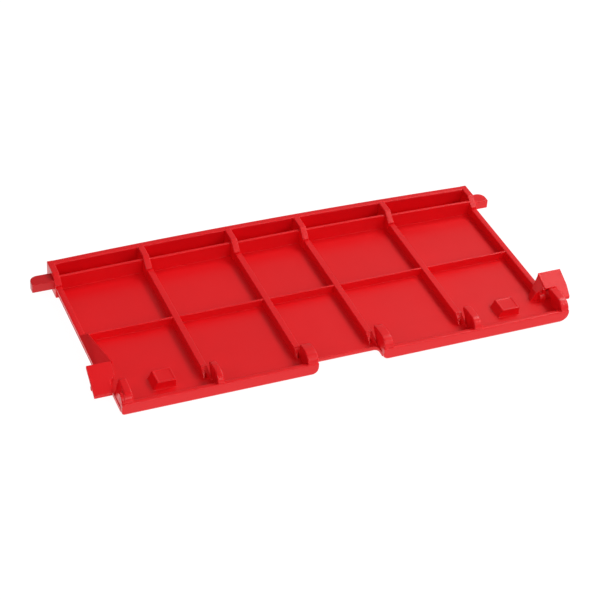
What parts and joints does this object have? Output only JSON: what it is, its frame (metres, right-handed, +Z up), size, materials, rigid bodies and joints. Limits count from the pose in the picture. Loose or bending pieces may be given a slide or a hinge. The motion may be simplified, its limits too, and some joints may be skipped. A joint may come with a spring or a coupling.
{
  "type": "ribbed hinged flap panel",
  "caption": "Rectangular red moulded flap with long ribs, a double rear wall, side pivot pins, front claws and sloped corner tabs.",
  "frame": {"origin": "centre of the plate's underside, midway between the side rails and between the front lip and the back wall", "axes": "+X along the pivot pins towards the right pin, +Y from the hooked front lip to the back wall, +Z up out of the ribbed side"},
  "size_m": [0.2634, 0.1158, 0.0157],
  "materials": {
    "red_plastic": "satin-gloss injection-moulded red polypropylene"
  },
  "bodies": {
    "root": {"base_plate": "red_plastic", "front_lip_left": "red_plastic", "front_lip_right": "red_plastic", "lip_cheek_left": "red_plastic", "corner_pad_right": "red_plastic", "side_rail_left": "red_plastic", "end_post_left": "red_plastic", "side_rail_right": "red_plastic", "end_post_right": "red_plastic", "rib_1": "red_plastic", "rib_end_1": "red_plastic", "rib_2": "red_plastic", "rib_end_2": "red_plastic", "rib_3": "red_plastic", "rib_end_3": "red_plastic", "rib_4": "red_plastic", "rib_end_4": "red_plastic", "cross_rib_1": "red_plastic", "ledge_wall_1": "red_plastic", "cross_rib_2": "red_plastic", "ledge_wall_2": "red_plastic", "cross_rib_3": "red_plastic", "ledge_wall_3": "red_plastic", "cross_rib_4": "red_plastic", "ledge_wall_4": "red_plastic", "cross_rib_5": "red_plastic", "ledge_wall_5": "red_plastic", "back_wall": "red_plastic", "pivot_pin_left": "red_plastic", "pivot_pin_right": "red_plastic", "rod_hook_1": "red_plastic", "rod_hook_2": "red_plastic", "rod_hook_3": "red_plastic", "rod_hook_4": "red_plastic", "corner_hook_left": "red_plastic", "corner_hook_right": "red_plastic", "snap_block_left": "red_plastic", "snap_block_right": "red_plastic", "latch_tab_left": "red_plastic", "latch_tab_right": "red_plastic", "tab_brace_left": "red_plastic", "tab_brace_right": "red_plastic", "web_left": "red_plastic", "gusset_right": "red_plastic"}
  },
  "joints": []
}
